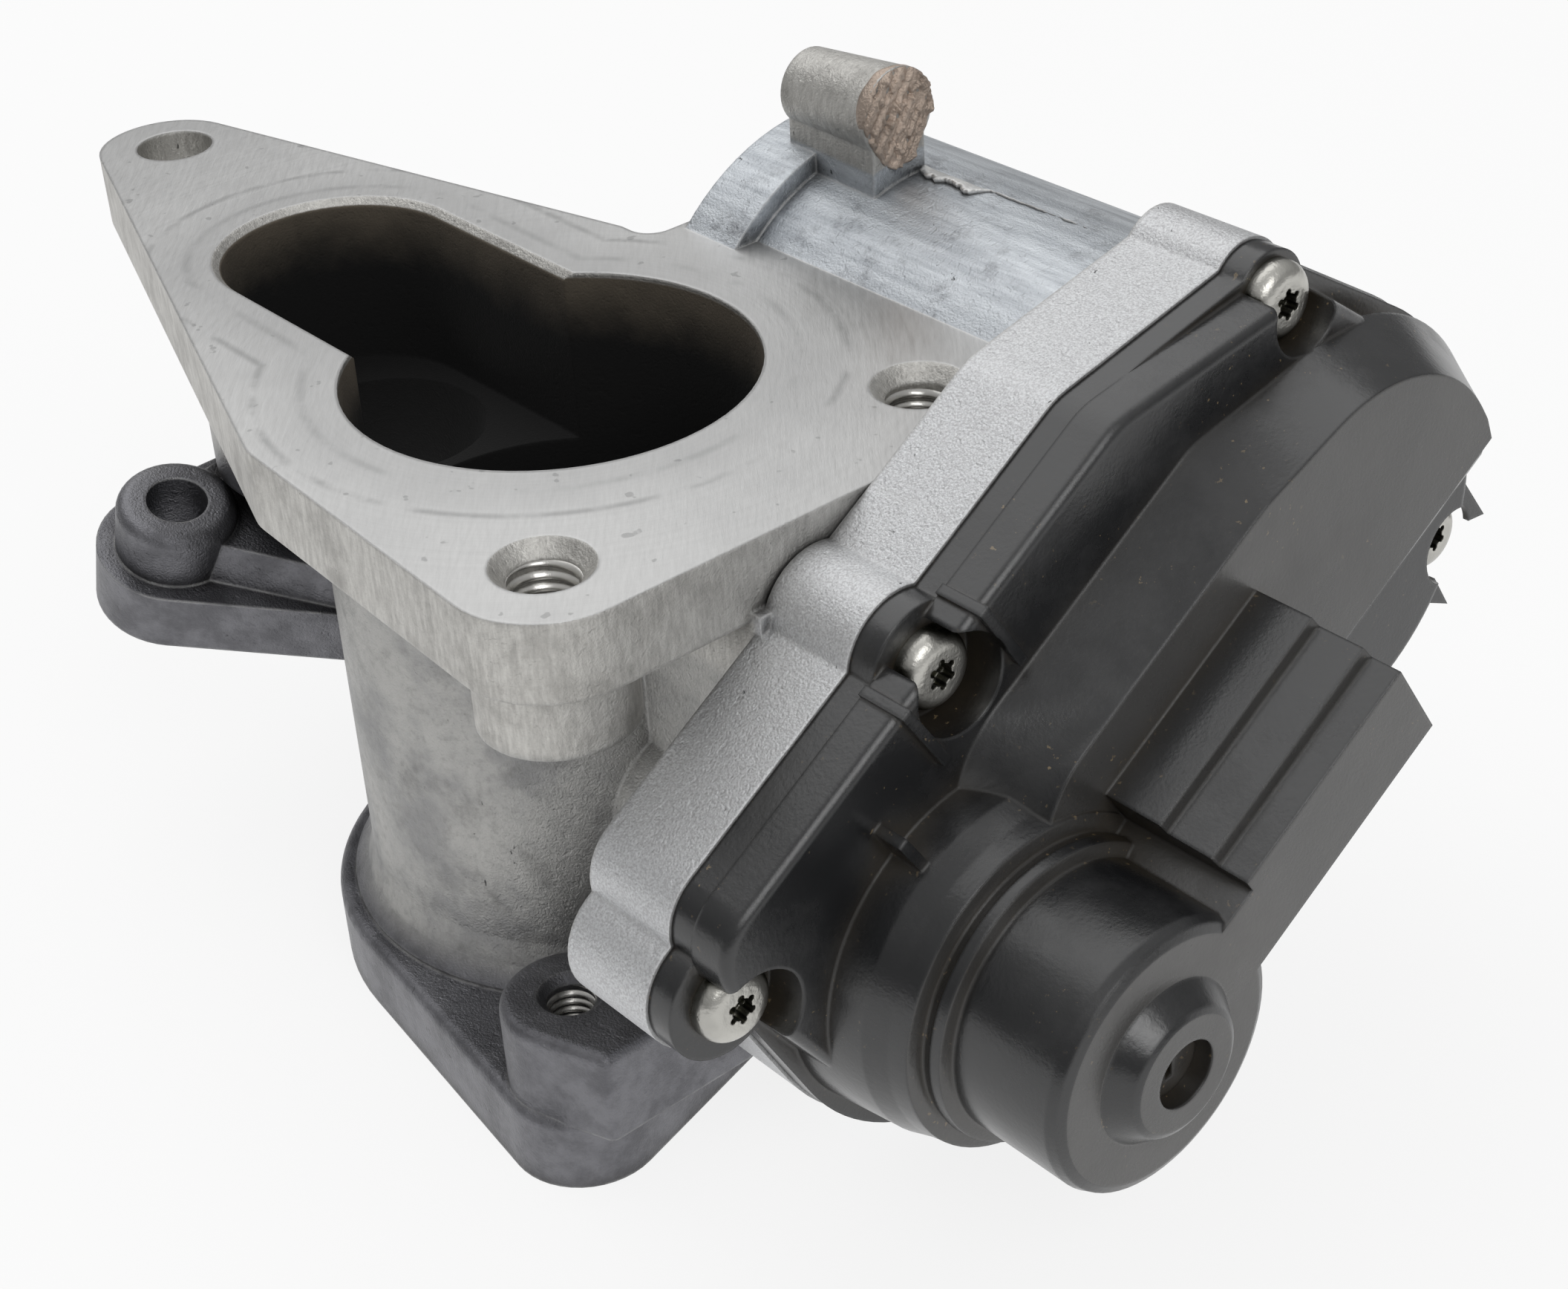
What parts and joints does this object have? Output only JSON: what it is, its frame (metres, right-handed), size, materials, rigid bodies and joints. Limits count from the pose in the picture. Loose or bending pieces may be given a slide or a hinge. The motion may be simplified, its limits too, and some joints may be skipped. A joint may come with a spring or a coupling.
{
  "type": "egr valve",
  "caption": "Motor-driven exhaust gas recirculation valve: a cast body with a flap in a through bore, a tilted gas port, a gear housing and a plastic cover with a socket.",
  "frame": {"origin": "centre of the lower mounting face, on the axis of the main bore", "axes": "+Z along the main bore to the top mounting face, +X along the flap shaft to the gear cover, +Y towards the motor"},
  "size_m": [0.1746, 0.1114, 0.0866],
  "materials": {
    "cast_aluminium": "as-cast satin aluminium, machined on its faces",
    "cover_plastic": "glass-filled black plastic",
    "seal_rubber": "moulded rubber",
    "plated_steel": "zinc plated",
    "stainless": "ground stainless steel",
    "bronze": "sintered bronze",
    "gear_plastic": "natural glass-filled nylon",
    "magnet": "sintered magnet",
    "spring_steel": "spring wire",
    "motor_steel": "zinc plated drawn steel",
    "copper": "copper",
    "carbon": "carbon",
    "brass": "turned brass",
    "board": "printed circuit board",
    "contact": "tinned contact"
  },
  "bodies": {
    "housing": {"valve_body": "cast_aluminium", "gear_cover": "cover_plastic", "cover_seal": "seal_rubber", "cover_screws": "plated_steel", "far_bush": "bronze", "near_bush": "bronze", "shaft_seal": "seal_rubber", "idler_pin": "stainless", "return_spring": "spring_steel", "motor_can": "motor_steel", "motor_magnets": "magnet", "rear_bearing": "bronze", "front_bearing": "bronze", "brush_plate": "cover_plastic", "brushes": "carbon", "motor_screws": "plated_steel", "motor_contacts": "copper", "sensor_board": "board", "connector_pins": "contact", "dome_plug": "cover_plastic", "stop_pin": "stainless"},
    "flap": {"flap_plate": "stainless", "flap_shaft": "stainless", "flap_screws": "plated_steel", "output_gear": "gear_plastic", "sensor_magnet": "magnet"},
    "idler": {"idler_gear": "gear_plastic"},
    "rotor": {"motor_shaft": "stainless", "armature": "motor_steel", "windings": "copper", "commutator": "copper", "motor_pinion": "brass"}
  },
  "joints": [
    {"name": "flap_turn", "type": "hinge", "parent": "housing", "child": "flap", "pos_m": [0, 0, 0.0285], "axis": [-1, 0, 0], "range_deg": [0, 80], "deforming": ["return_spring"]},
    {"name": "idler_turn", "type": "hinge", "parent": "housing", "child": "idler", "pos_m": [0.05, 0.02592, 0.0436], "axis": [-1, 0, 0], "range_deg": [-220, 0]},
    {"name": "rotor_turn", "type": "hinge", "parent": "housing", "child": "rotor", "pos_m": [0.01, 0.04947, 0.05001], "axis": [-1, 0, 0], "range_deg": [0, 898.33]}
  ],
  "couplings": [
    {"joint": "idler_turn", "follows": "flap_turn", "ratio": -2.75},
    {"joint": "rotor_turn", "follows": "flap_turn", "ratio": 11.229}
  ]
}
